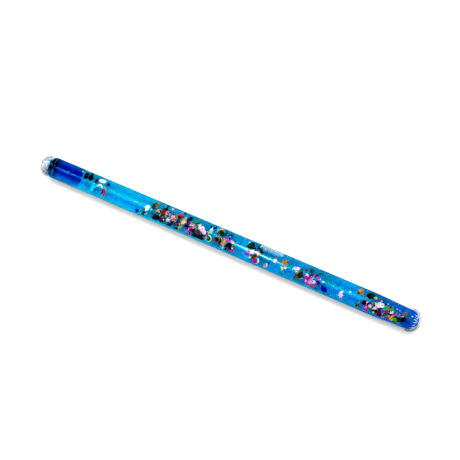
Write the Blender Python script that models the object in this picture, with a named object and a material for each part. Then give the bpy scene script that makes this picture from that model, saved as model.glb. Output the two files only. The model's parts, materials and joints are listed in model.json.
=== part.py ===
"""Liquid-filled confetti rainstick: a sealed clear tube, two domed end caps and loose foil confetti.

Metres, +Z up. The tube lies along X on the plane Z = 0, with the filling end at -X.
Every confetti flake is an object of its own. It slides along X in a lane that no other flake crosses.
"""

import math
import random

import bmesh
import bpy
from mathutils import Matrix, Vector

MM = 0.001

# Driving dimensions
LENGTH = 317 * MM
DIAMETER = 16.7 * MM
WALL = 1.1 * MM
GAP = 0.3 * MM  # between pieces that touch
SIDES = 32  # flats round the tube; it rests on one of them
DOME_SIDES = 64
DOME_STEPS = 9

# The glued lap joint between the tube and each cap
LAP = 2.4 * MM
LAP_WALL = 0.4 * MM
SHOULDER = 0.25 * MM  # straight length of the cap behind its dome

FLUTES = 16
FLUTE_DEPTH = 0.45 * MM
STOPPER_THICKNESS = 1.2 * MM

# Foil confetti
FOIL = 0.12 * MM
LANE_CLEARANCE = 0.12 * MM
DUST_LAYER = 0.35 * MM  # the flakes stay this far off the bore
FACING = math.radians(36)  # roll of a flake that would face the front of the tube
LYING = math.radians(12)  # roll that the flakes take, nearly flat
ROLL_SPREAD = math.radians(12)
LANE_TRIES = 2500
DEPTH_COST = 0.2  # how much a lane's depth behind the front counts, next to its distance from the wanted place
ROLL_COST = 1 * MM  # the same for each radian away from the wanted roll
SEED = 3

# The tube is seen from its front, a little from +X, through the liquid
REFRACTION = 1.33
SLANT = 0.25  # a flake looks this much further back along the tube for each unit of its depth towards the front
SLANT_START = 0.75 * MM  # the same for a flake on the axis
SLANT_END = 290 * MM  # the place along the tube from where there would be no slant
FIRST_CHOICE = ("pearl", "blush")  # the palest flakes get their lanes first
STOPPER_CLEARANCE = 0.8 * MM

OUTER = DIAMETER / 2
BORE = OUTER - WALL
AXIS_HEIGHT = OUTER
CAP_BASE = LENGTH / 2 - OUTER - SHOULDER
TUBE_END = CAP_BASE - GAP
STEP = TUBE_END - LAP
FLAT_TO_CORNER = 1 / math.cos(math.pi / SIDES)

FINISHES = {
    # name: (colour, roughness, metallic)
    "clear": ((0.86, 0.93, 0.95), 0.05, 0.0),
    "clear_cap": ((0.80, 0.86, 0.88), 0.08, 0.0),
    "amber": ((0.85, 0.38, 0.06), 0.25, 0.8),
    "black": ((0.01, 0.01, 0.02), 0.30, 0.6),
    "blush": ((0.95, 0.70, 0.78), 0.25, 0.5),
    "bronze": ((0.42, 0.22, 0.06), 0.25, 0.9),
    "crimson": ((0.35, 0.01, 0.03), 0.25, 0.8),
    "cyan": ((0.02, 0.75, 0.90), 0.25, 0.6),
    "emerald": ((0.02, 0.50, 0.10), 0.25, 0.8),
    "forest": ((0.01, 0.12, 0.03), 0.30, 0.8),
    "gold": ((0.85, 0.60, 0.04), 0.25, 0.9),
    "ice": ((0.70, 0.85, 0.98), 0.20, 0.6),
    "indigo": ((0.10, 0.03, 0.60), 0.25, 0.8),
    "lime": ((0.55, 0.85, 0.05), 0.25, 0.7),
    "magenta": ((0.85, 0.02, 0.50), 0.25, 0.7),
    "mint": ((0.50, 0.90, 0.75), 0.25, 0.6),
    "moss": ((0.18, 0.20, 0.03), 0.30, 0.8),
    "navy": ((0.01, 0.02, 0.25), 0.30, 0.7),
    "olive": ((0.35, 0.33, 0.04), 0.30, 0.8),
    "peach": ((0.95, 0.62, 0.38), 0.25, 0.6),
    "pearl": ((0.95, 0.93, 0.93), 0.20, 0.3),
    "plum": ((0.25, 0.02, 0.16), 0.25, 0.8),
    "red": ((0.80, 0.04, 0.02), 0.25, 0.7),
    "rose": ((0.90, 0.25, 0.45), 0.25, 0.6),
    "teal": ((0.01, 0.30, 0.30), 0.25, 0.8),
    "violet": ((0.45, 0.08, 0.70), 0.25, 0.8),
}

# Every flake: outline, finish, width, place along the tube, place up the front of the bore, turn in its own plane.
# Lengths are in millimetres and turns in degrees. Along counts from the tube's middle, up from its axis.
# Both places are where the flake looks to be, seen through the liquid.
CONFETTI = [
    ("disc", "black", 2.4, -147.2, 3.6, 0),
    ("leaf", "navy", 4.8, -118.8, 3.8, 60),
    ("leaf", "crimson", 4.4, -115.2, 3.8, 125),
    ("teardrop", "cyan", 4.6, -110.6, -2.2, 100),
    ("oval", "pearl", 5.8, -105.0, 4.9, 5),
    ("crescent", "pearl", 4.4, -105.0, 0.6, 270),
    ("crescent", "red", 5.4, -100.9, -3.2, 195),
    ("leaf", "navy", 3.8, -69.5, -5.1, 25),
    ("oval", "pearl", 5.4, -63.0, -0.6, 80),
    ("triangle", "olive", 4.0, -56.8, 2.8, 30),
    ("leaf", "forest", 5.0, -54.0, -4.2, 10),
    ("hexagon", "bronze", 4.6, -49.3, 0.2, 90),
    ("triangle", "crimson", 3.8, -48.6, 3.8, 90),
    ("star", "rose", 4.0, -45.6, 1.8, 12),
    ("star", "pearl", 4.4, -43.9, -2.6, 40),
    ("star", "blush", 5.2, -40.6, 0.6, 70),
    ("triangle", "magenta", 4.0, -36.0, 4.9, 90),
    ("star", "peach", 5.4, -31.3, 1.5, 18),
    ("chevron", "lime", 4.4, -34.0, -4.6, 270),
    ("star", "navy", 4.6, -28.0, 4.6, 50),
    ("heart", "emerald", 4.0, -23.4, 3.5, 0),
    ("triangle", "magenta", 4.2, -24.8, -3.6, 90),
    ("ribbon", "blush", 7.6, -15.9, 0.6, -24),
    ("triangle", "plum", 4.2, -15.4, -4.4, -30),
    ("triangle", "mint", 3.6, -9.3, 2.9, 90),
    ("ring", "mint", 5.4, -9.1, -3.7, 0),
    ("hexagon", "amber", 4.2, -2.6, -1.4, 15),
    ("hexagon", "gold", 4.0, -1.7, 5.0, 0),
    ("star", "gold", 5.0, 2.7, -0.9, 90),
    ("star", "ice", 4.0, 3.2, -5.0, 54),
    ("star", "violet", 4.6, 5.6, 1.6, 75),
    ("leaf", "crimson", 5.4, 8.6, -2.6, 150),
    ("hexagon", "moss", 5.0, 23.5, 4.1, 10),
    ("star", "pearl", 4.8, 25.8, 0.2, 30),
    ("star", "amber", 4.8, 28.3, -2.2, 75),
    ("teardrop", "magenta", 4.0, 30.0, -4.8, 120),
    ("leaf", "blush", 4.6, 38.9, -5.4, 60),
    ("star", "peach", 2.8, 44.5, 0.9, 90),
    ("star", "amber", 4.8, 51.8, 1.6, 270),
    ("triangle", "blush", 5.0, 61.6, 0.9, -80),
    ("teardrop", "olive", 4.8, 63.1, -4.2, 90),
    ("disc", "black", 3.8, 65.6, -1.6, 0),
    ("star", "teal", 4.8, 72.6, 4.1, 20),
    ("triangle", "rose", 6.0, 73.2, -3.2, 50),
    ("triangle", "pearl", 5.0, 76.8, -2.2, 0),
    ("crescent", "indigo", 5.4, 85.6, -3.4, 40),
    ("flower", "blush", 4.0, 98.4, -3.0, 0),
    ("heart", "bronze", 4.4, 110.9, 4.8, 200),
    ("teardrop", "olive", 4.8, 112.4, -4.8, 90),
    ("hexagon", "forest", 5.0, 118.6, 4.8, 20),
    ("flower", "magenta", 4.6, 118.2, -5.0, 36),
    ("oval", "pearl", 5.4, 127.5, 1.3, 5),
    ("star", "emerald", 4.6, 135.4, 1.0, 10),
    ("ring", "gold", 4.4, 138.2, -4.0, 0),
    ("heart", "emerald", 4.2, 140.4, -5.0, 180),
    ("disc", "bronze", 3.4, 145.5, 0.8, 0),
]


def remove_everything():
    for thing in list(bpy.data.objects):
        bpy.data.objects.remove(thing, do_unlink=True)


def finish(name):
    """The shared material of this name."""
    if name in bpy.data.materials:
        return bpy.data.materials[name]
    colour, roughness, metallic = FINISHES[name]
    material = bpy.data.materials.new(name)
    material.use_nodes = True
    shader = material.node_tree.nodes["Principled BSDF"]
    shader.inputs["Base Color"].default_value = (*colour, 1)
    shader.inputs["Roughness"].default_value = roughness
    shader.inputs["Metallic"].default_value = metallic
    material.diffuse_color = (*colour, 1)
    return material


def add_object(name, bm, material, smooth_angle=None):
    """A scene object made from bm, with its faces pointing out."""
    bmesh.ops.recalc_face_normals(bm, faces=bm.faces)
    mesh = bpy.data.meshes.new(name)
    bm.to_mesh(mesh)
    bm.free()
    if smooth_angle is not None:
        mesh.shade_smooth()
        mesh.set_sharp_from_angle(angle=smooth_angle)
    mesh.materials.append(finish(material))
    thing = bpy.data.objects.new(name, mesh)
    bpy.context.collection.objects.link(thing)
    return thing


def turned(profile, sides, radius_at=None):
    """A solid turned round X from (x, radius) points, with a flat at the bottom.

    A profile that starts and ends on the axis makes a closed cap, and any other is taken as a loop.
    radius_at(x, radius, angle) may change a point's radius.
    """
    bm = bmesh.new()
    rings = []
    for x, radius in profile:
        if radius == 0:
            rings.append([bm.verts.new((x, 0, 0))])
            continue
        ring = []
        for side in range(sides):
            angle = 2 * math.pi * (side + 0.5) / sides - math.pi / 2
            r = radius_at(x, radius, angle) if radius_at else radius
            ring.append(bm.verts.new((x, r * math.cos(angle), r * math.sin(angle))))
        rings.append(ring)
    open_profile = len(rings[0]) == 1
    pairs = zip(rings, rings[1:] if open_profile else rings[1:] + rings[:1])
    for first, second in pairs:
        for side in range(sides):
            here = [first[side % len(first)], first[(side + 1) % len(first)]]
            there = [second[(side + 1) % len(second)], second[side % len(second)]]
            corners = list(dict.fromkeys(here + there))
            bm.faces.new(corners)
    return bm


def make_tube():
    corner = FLAT_TO_CORNER
    tongue = BORE + LAP_WALL
    profile = [
        (-TUBE_END, BORE),
        (-TUBE_END, tongue),
        (-STEP, tongue),
        (-STEP, OUTER * corner),
        (STEP, OUTER * corner),
        (STEP, tongue),
        (TUBE_END, tongue),
        (TUBE_END, BORE),
    ]
    tube = add_object("tube", turned(profile, SIDES), "clear", math.radians(30))
    tube.location.z = AXIS_HEIGHT


def cap_profile():
    """Half the cap's section, from the tip outside, round the skirt, to the tip inside."""
    centre = LENGTH / 2 - OUTER
    outside = []
    inside = []
    for step in range(DOME_STEPS + 1):
        angle = math.pi / 2 * step / DOME_STEPS
        outside.append((centre + OUTER * math.cos(angle), OUTER * math.sin(angle)))
        inside.append((centre + BORE * math.cos(angle), BORE * math.sin(angle)))
    skirt_inside = BORE + LAP_WALL + GAP
    skirt_end = STEP + GAP
    skirt = [(skirt_end, OUTER), (skirt_end, skirt_inside), (CAP_BASE, skirt_inside), (CAP_BASE, BORE)]
    return outside + skirt + inside[::-1]


def fluted(x, radius, angle):
    """Radial flutes on the inside of a cap's dome, deepest half way up it."""
    centre = LENGTH / 2 - OUTER
    on_inside = abs(math.hypot(x - centre, radius) - BORE) < WALL / 10
    if not on_inside or x <= centre:
        return radius
    rise = math.asin(min(1, (x - centre) / BORE))
    depth = FLUTE_DEPTH * math.sin(2 * rise)
    return radius - depth * (0.5 + 0.5 * math.cos(FLUTES * angle))


def make_caps():
    for name, turn in (("right_end_cap", 0), ("left_end_cap", math.pi)):
        cap = add_object(name, turned(cap_profile(), DOME_SIDES, fluted), "clear_cap", math.radians(30))
        cap.location.z = AXIS_HEIGHT
        cap.rotation_euler.z = turn


def make_stopper():
    radius = BORE / FLAT_TO_CORNER - GAP
    profile = [
        (-TUBE_END, 0),
        (-TUBE_END, radius),
        (-TUBE_END + STOPPER_THICKNESS, radius),
        (-TUBE_END + STOPPER_THICKNESS, 0),
    ]
    stopper = add_object("filler_stopper", turned(profile, SIDES), "clear_cap", math.radians(30))
    stopper.location.z = AXIS_HEIGHT


def circle(count, radius=1.0, centre=(0.0, 0.0), start=0.0, sweep=2 * math.pi, whole=True):
    """Points along an arc; a whole circle leaves out the last point, which repeats the first."""
    last = count if whole else count - 1
    points = []
    for i in range(count):
        angle = start + sweep * i / last
        points.append((centre[0] + radius * math.cos(angle), centre[1] + radius * math.sin(angle)))
    return points


def star_outline():
    points = []
    for i in range(10):
        radius = 1.0 if i % 2 == 0 else 0.45
        points.append((radius * math.cos(math.pi * i / 5), radius * math.sin(math.pi * i / 5)))
    return points


def heart_outline():
    points = []
    for i in range(22):
        t = 2 * math.pi * i / 22
        across = 16 * math.sin(t) ** 3
        up = 13 * math.cos(t) - 5 * math.cos(2 * t) - 2 * math.cos(3 * t) - math.cos(4 * t)
        points.append((-across, up))
    return points


def crescent_outline():
    outer = circle(15, 1.0, (0, 0), math.radians(65), math.radians(230), whole=False)
    inner = circle(13, 0.98, (0.55, 0), math.radians(248), math.radians(-136), whole=False)
    return outer + inner


def leaf_outline():
    """Two arcs that meet in points."""
    radius = 1.2
    drop = math.sqrt(radius**2 - 1)
    start = math.asin(drop / radius)
    upper = circle(9, radius, (0, -drop), start, math.pi - 2 * start, whole=False)
    return upper + [(-x, -y) for x, y in upper[1:-1]]


def teardrop_outline():
    return [(1.5, 0.0)] + circle(15, 0.75, (0, 0), math.radians(60), math.radians(240), whole=False)


def flower_outline():
    points = []
    for i in range(40):
        angle = 2 * math.pi * i / 40
        radius = 0.8 + 0.2 * math.cos(5 * angle)
        points.append((radius * math.cos(angle), radius * math.sin(angle)))
    return points


OUTLINES = {
    "chevron": [(-1, -0.6), (0, 0.1), (1, -0.6), (1, 0.0), (0, 0.7), (-1, 0.0)],
    "crescent": crescent_outline(),
    "disc": circle(24),
    "flower": flower_outline(),
    "heart": heart_outline(),
    "hexagon": circle(6),
    "leaf": leaf_outline(),
    "oval": [(x, 0.66 * y) for x, y in circle(24)],
    "ribbon": [(-1, -0.48), (1, -0.42), (1, 0.42), (-1, 0.48)],
    "ring": circle(24),
    "star": star_outline(),
    "teardrop": teardrop_outline(),
    "triangle": circle(3),
}
RING_HOLE = 0.45  # of the ring's outer radius


def flake_outline(shape, width, turn):
    """The shape's outline in metres, turned in its plane and centred, with its widest reach equal to width."""
    points = [Vector(p) for p in OUTLINES[shape]]
    reach = max((a - b).length for a in points for b in points)
    points = [Matrix.Rotation(turn, 2) @ p * (width / reach) for p in points]
    low = Vector((min(p.x for p in points), min(p.y for p in points)))
    high = Vector((max(p.x for p in points), max(p.y for p in points)))
    middle = (low + high) / 2
    return [p - middle for p in points], (high - low) / 2


def flake_mesh(shape, outline):
    """A thin sheet of foil cut to the outline; a ring also has its hole."""
    bm = bmesh.new()
    if shape != "ring":
        bottom = bm.faces.new([bm.verts.new((p.x, p.y, -FOIL / 2)) for p in outline])
        top = bmesh.ops.extrude_face_region(bm, geom=[bottom])["geom"]
        lifted = [v for v in top if isinstance(v, bmesh.types.BMVert)]
        bmesh.ops.translate(bm, verts=lifted, vec=(0, 0, FOIL))
        return bm
    loops = []
    for scale, z in ((1, -FOIL / 2), (1, FOIL / 2), (RING_HOLE, FOIL / 2), (RING_HOLE, -FOIL / 2)):
        loops.append([bm.verts.new((p.x * scale, p.y * scale, z)) for p in outline])
    for loop, following in zip(loops, loops[1:] + loops[:1]):
        for i in range(len(outline)):
            j = (i + 1) % len(outline)
            bm.faces.new((loop[i], loop[j], following[j], following[i]))
    return bm


def lane_ends(centre, roll, half):
    """The two ends of a lane's section: the line that a flake seen end on covers."""
    reach = Vector((half * math.cos(roll), half * math.sin(roll)))
    return centre - reach, centre + reach


def point_to_lane(point, lane):
    start, end = lane
    along = end - start
    share = min(1.0, max(0.0, (point - start).dot(along) / along.length_squared))
    return (point - start - along * share).length


def lanes_cross(lane, other):
    def side(line, point):
        return (line[1] - line[0]).cross(point - line[0]) > 0

    return side(lane, other[0]) != side(lane, other[1]) and side(other, lane[0]) != side(other, lane[1])


def lanes_clear(lane, other):
    if lanes_cross(lane, other):
        return False
    nearest = min(point_to_lane(p, other) for p in lane)
    nearest = min(nearest, min(point_to_lane(p, lane) for p in other))
    return nearest >= FOIL + LANE_CLEARANCE


def magnified(depth):
    """How much further up the front a flake looks through the liquid, at this depth from the axis to the front."""
    return REFRACTION * BORE / (REFRACTION * BORE - (REFRACTION - 1) * (BORE - depth))


def find_lane(half, up, taken, rng):
    """(centre, depth, roll, lane) of a free lane near the wanted place up the front of the bore, front ones first."""
    room = BORE / FLAT_TO_CORNER - DUST_LAYER
    up_way = Vector((math.cos(FACING), math.sin(FACING)))
    out_way = Vector((-up_way.y, up_way.x))
    wanted_roll = LYING + rng.gauss(0, ROLL_SPREAD)
    best = None
    for attempt in range(LANE_TRIES):
        loosening = (attempt / LANE_TRIES) ** 2
        roll = wanted_roll + rng.gauss(0, ROLL_SPREAD * (0.2 + loosening))
        depth = rng.uniform(-room, room)
        wanted = up / magnified(depth)
        across = wanted + rng.gauss(0, (0.4 + 5 * loosening) * MM)
        centre = up_way * across + out_way * depth
        lane = lane_ends(centre, roll, half)
        if max(lane[0].length, lane[1].length) > room:
            continue
        if not all(lanes_clear(lane, other) for other in taken):
            continue
        cost = abs(across - wanted) - DEPTH_COST * depth + ROLL_COST * abs(roll - wanted_roll)
        if best is None or cost < best[0]:
            best = (cost, centre, depth, roll, lane)
    if best is None:
        raise RuntimeError("no free lane is left in the bore")
    return best[1:]


def make_confetti():
    """Pale flakes get their lanes first, then the widest. Each one's origin is at its own middle."""
    rng = random.Random(SEED)
    flakes = []
    for shape, colour, width, along, up, turn in CONFETTI:
        outline, half = flake_outline(shape, width * MM, math.radians(turn))
        order = (colour not in FIRST_CHOICE, -half.y)
        flakes.append((order, half, len(flakes), shape, colour, outline, along * MM, up * MM))
    taken = []
    lanes = {}
    for _, half, number, *_, up in sorted(flakes, key=lambda flake: flake[0]):
        centre, depth, roll, lane = find_lane(half.y, up, taken, rng)
        taken.append(lane)
        lanes[number] = centre, depth, roll
    counts = {}
    stopper_face = -TUBE_END + STOPPER_THICKNESS
    for _, half, number, shape, colour, outline, along, _ in flakes:
        kind = f"{shape}_{colour}"
        counts[kind] = counts.get(kind, 0) + 1
        name = kind if counts[kind] == 1 else f"{kind}_{counts[kind]}"
        centre, depth, roll = lanes[number]
        flake = add_object(name, flake_mesh(shape, outline), colour)
        slant = (SLANT_START + SLANT * depth) * (1 - along / SLANT_END)
        place = max(along + slant, stopper_face + STOPPER_CLEARANCE + half.x)
        flake.location = (place, centre.x, AXIS_HEIGHT + centre.y)
        flake.rotation_euler.x = roll


remove_everything()
make_tube()
make_caps()
make_stopper()
make_confetti()
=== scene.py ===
"""Liquid-filled confetti rainstick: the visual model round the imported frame. Metres, +Z up, tube along X."""

import json
import math
import random

import bpy
import numpy as np
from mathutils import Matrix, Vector, noise


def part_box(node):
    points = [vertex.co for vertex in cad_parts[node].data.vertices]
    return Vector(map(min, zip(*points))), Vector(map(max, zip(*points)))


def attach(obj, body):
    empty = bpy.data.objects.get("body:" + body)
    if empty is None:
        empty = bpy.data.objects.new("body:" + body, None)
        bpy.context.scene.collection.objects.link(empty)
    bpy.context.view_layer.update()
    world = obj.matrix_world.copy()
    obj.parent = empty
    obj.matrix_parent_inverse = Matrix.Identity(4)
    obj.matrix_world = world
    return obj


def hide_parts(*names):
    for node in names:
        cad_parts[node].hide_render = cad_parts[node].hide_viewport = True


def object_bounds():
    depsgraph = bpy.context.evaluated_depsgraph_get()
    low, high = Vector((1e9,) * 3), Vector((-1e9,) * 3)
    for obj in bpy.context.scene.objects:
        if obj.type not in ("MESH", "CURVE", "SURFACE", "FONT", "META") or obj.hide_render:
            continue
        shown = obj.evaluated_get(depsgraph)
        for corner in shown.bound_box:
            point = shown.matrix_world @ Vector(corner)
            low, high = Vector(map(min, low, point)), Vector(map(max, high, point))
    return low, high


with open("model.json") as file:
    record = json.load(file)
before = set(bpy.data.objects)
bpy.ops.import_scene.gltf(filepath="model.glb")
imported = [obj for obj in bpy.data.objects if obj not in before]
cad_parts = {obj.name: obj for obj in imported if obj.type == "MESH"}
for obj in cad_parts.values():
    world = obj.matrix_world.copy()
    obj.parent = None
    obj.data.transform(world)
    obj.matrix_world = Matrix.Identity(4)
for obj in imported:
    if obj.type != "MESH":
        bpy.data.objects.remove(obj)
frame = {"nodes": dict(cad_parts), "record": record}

CAD_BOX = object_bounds()
SHELL = "rainstick_tube"
MM = 0.001

# Sizes of the clear shell and of what fills it, read from the frame
TUBE_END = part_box("tube")[1].x
LIQUID_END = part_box("filler_stopper")[1].x
HALF_LENGTH = CAD_BOX[1].x
OUTER = (CAD_BOX[1].z - CAD_BOX[0].z) / 2
AXIS = Vector((0, 0, OUTER))
WALL = 0.3 * MM
CAP_WALL = 1.1 * MM  # of the dome at the filling end
JOINT_GAP = 0.05 * MM  # between the tube and a dome
SHELL_SHARP = math.radians(40)  # edges of the shell steeper than this stay sharp
LIQUID = OUTER - WALL - 0.03 * MM
DOME_FLATNESS = 0.88  # how far the bore's closed end reaches, next to a half ball
CENTRE = HALF_LENGTH - OUTER  # of the dome at the closed end
TAPER_START = 0.118  # the bore narrows a little from here towards the closed end
TAPER = 1.0 * MM
END_ROUNDING = 2.6 * MM  # of the liquid's filling end
SIDES = 144
DOME_STEPS = 28
FLUTES = 16
LENS = 1.33  # refractive index of the liquid
SLANT = 0.25  # a flake looks this much further back along the tube for each unit of its depth towards the front
SLANT_START = 0.75 * MM  # the same for a flake on the axis
SLANT_END = 0.29  # the place along the tube from where there would be no slant
FACING = math.radians(36)  # the front of the tube is this far forward of up
CAUSTIC_LINE = math.radians(38.2)  # painted light: a caustic line, lighter dust where light focused by the liquid from the front lamps would fall, runs along the dust this far round from the bottom of the bore
DRIFT_SHARE = 0.1115  # the navy drift covers this share of the length, from the filling end


def link(name, data):
    """A new object in the scene."""
    thing = bpy.data.objects.new(name, data)
    bpy.context.collection.objects.link(thing)
    return thing


def ring_faces(pairs, sides):
    """Faces between pairs of rings of vertices; a ring of one vertex is a tip."""
    faces = []
    for first, second in pairs:
        for i in range(sides):
            here = [first[i % len(first)], first[(i + 1) % len(first)]]
            there = [second[(i + 1) % len(second)], second[i % len(second)]]
            faces.append(list(dict.fromkeys(here + there)))
    return faces


def lathe(name, profile, radius_at=None, sharp=None):
    """A closed solid turned round the tube's axis from (x, radius) points; a loop if it doesn't start on the axis."""
    angles = [2 * math.pi * i / SIDES for i in range(SIDES)]
    verts, rings = [], []
    for x, radius in profile:
        ring = []
        for angle in angles if radius > 0 else angles[:1]:
            r = radius_at(x, radius, angle) if radius_at else radius
            ring.append(len(verts))
            verts.append((x, r * math.cos(angle), AXIS.z + r * math.sin(angle)))
        rings.append(ring)
    following = rings[1:] if len(rings[0]) == 1 else rings[1:] + rings[:1]
    return solid(name, verts, ring_faces(zip(rings, following), SIDES), sharp)


def solid(name, verts, faces, sharp=math.radians(35)):
    """An object of these faces, facing out, smooth across every edge flatter than sharp."""
    mesh = bpy.data.meshes.new(name)
    mesh.from_pydata([tuple(v) for v in verts], [], [tuple(f) for f in faces])
    mesh.validate()
    volume = 0.0
    for polygon in mesh.polygons:
        corners = [mesh.vertices[i].co for i in polygon.vertices]
        for b, c in zip(corners[1:], corners[2:]):
            volume += corners[0].dot(b.cross(c))
    if volume < 0:
        mesh.flip_normals()
    mesh.shade_smooth()
    if sharp is not None:
        mesh.set_sharp_from_angle(angle=sharp)
    return link(name, mesh)


def dome(radius):
    """(x, radius) points along a dome, from just past its rim to its tip."""
    points = []
    for i in range(1, DOME_STEPS):
        angle = math.radians(90 - 90 * i / DOME_STEPS)
        points.append((CENTRE + radius * math.cos(angle), radius * math.sin(angle)))
    return [*points, (CENTRE + radius, 0.0)]


def bore_outline(inset):
    """(x, radius) points along the liquid's surface, from its filling end to its closed end."""
    full = LIQUID - inset
    points = []
    for angle in np.radians(np.linspace(90, 0, 10)):
        x = LIQUID_END + inset + END_ROUNDING * (1 - math.sin(angle))
        points.append((x, full - END_ROUNDING * (1 - math.cos(angle))))
    for x in np.arange(points[-1][0] + MM, CENTRE, MM):
        near = max(0.0, (x - TAPER_START) / (CENTRE - TAPER_START))
        points.append((x, full - TAPER * near * near * (3 - 2 * near)))
    for angle in np.radians(np.linspace(0, 86, 20)):
        points.append((CENTRE + (full - TAPER) * DOME_FLATNESS * math.sin(angle), (full - TAPER) * math.cos(angle)))
    return points


# Materials


class Nodes:
    """Short calls for building a material's node tree."""

    def __init__(self, name):
        self.material = bpy.data.materials.new(name)
        self.material.use_nodes = True
        self.tree = self.material.node_tree
        self.tree.nodes.clear()
        self.output = self.add("ShaderNodeOutputMaterial")

    def put(self, socket, value):
        if isinstance(value, bpy.types.NodeSocket):
            self.tree.links.new(value, socket)
        elif socket.type == "RGBA" and len(value) == 3:
            socket.default_value = (*value, 1)
        else:
            socket.default_value = value

    def add(self, kind, inputs=None, **settings):
        node = self.tree.nodes.new(kind)
        for key, value in settings.items():
            setattr(node, key, value)
        for key, value in (inputs or {}).items():
            self.put(node.inputs[key], value)
        return node

    def finish(self, surface):
        self.tree.links.new(surface, self.output.inputs["Surface"])
        return self.material

    def coordinates(self, kind="Object"):
        return self.add("ShaderNodeTexCoord").outputs[kind]

    def noise(self, place, scale, detail=2.0):
        return self.add("ShaderNodeTexNoise", {"Vector": place, "Scale": scale, "Detail": detail}).outputs["Fac"]

    def math(self, operation, *values):
        node = self.add("ShaderNodeMath", operation=operation)
        for socket, value in zip(node.inputs, values):
            self.put(socket, value)
        return node.outputs[0]

    def mix(self, share, a, b):
        return self.add("ShaderNodeMix", {0: share, 6: a, 7: b}, data_type="RGBA").outputs[2]

    def multiply(self, a, b):
        settings = {"data_type": "RGBA", "blend_type": "MULTIPLY"}
        return self.add("ShaderNodeMix", {0: 1.0, 6: a, 7: b}, **settings).outputs[2]

    def ramp(self, factor, stops):
        node = self.add("ShaderNodeValToRGB", {"Fac": factor})
        elements = node.color_ramp.elements
        while len(elements) < len(stops):
            elements.new(0.5)
        for element, (place, colour) in zip(elements, stops):
            element.position = place
            element.color = (*colour, 1)
        return node.outputs[0]

    def shaders(self, share, a, b):
        return self.add("ShaderNodeMixShader", {0: share, 1: a, 2: b}).outputs[0]


def clear_plastic(name, tint, narrow=12.0, rim=1.0):
    """Clear wall: see-through face on, and more of a mirror towards its edges."""
    n = Nodes(name)
    facing = n.add("ShaderNodeLayerWeight", {"Blend": 0.5}).outputs["Facing"]
    share = n.math("MULTIPLY_ADD", n.math("POWER", facing, narrow), 0.9, 0.002)
    clear = n.add("ShaderNodeBsdfTransparent", {"Color": tint}).outputs[0]
    gloss = n.add("ShaderNodeBsdfAnisotropic", {"Color": (rim, rim, rim), "Roughness": 0.08}).outputs[0]
    return n.finish(n.shaders(share, clear, gloss))


def lit_through(n, body, shadow):
    """The surface with lamp light let straight through it, so that what is inside is lit."""
    through = n.add("ShaderNodeBsdfTransparent", {"Color": shadow}).outputs[0]
    lamp = n.add("ShaderNodeLightPath").outputs["Is Shadow Ray"]
    return n.finish(n.shaders(lamp, body, through))


def liquid_material(name, kind):
    """Bends light as water does; the shell round it has all the gloss."""
    n = Nodes(name)
    body = n.add(kind, {"Color": (0.92, 0.97, 1.0), "Roughness": 0.0, "IOR": LENS}).outputs[0]
    return lit_through(n, body, (0.94, 0.95, 0.96))


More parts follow.
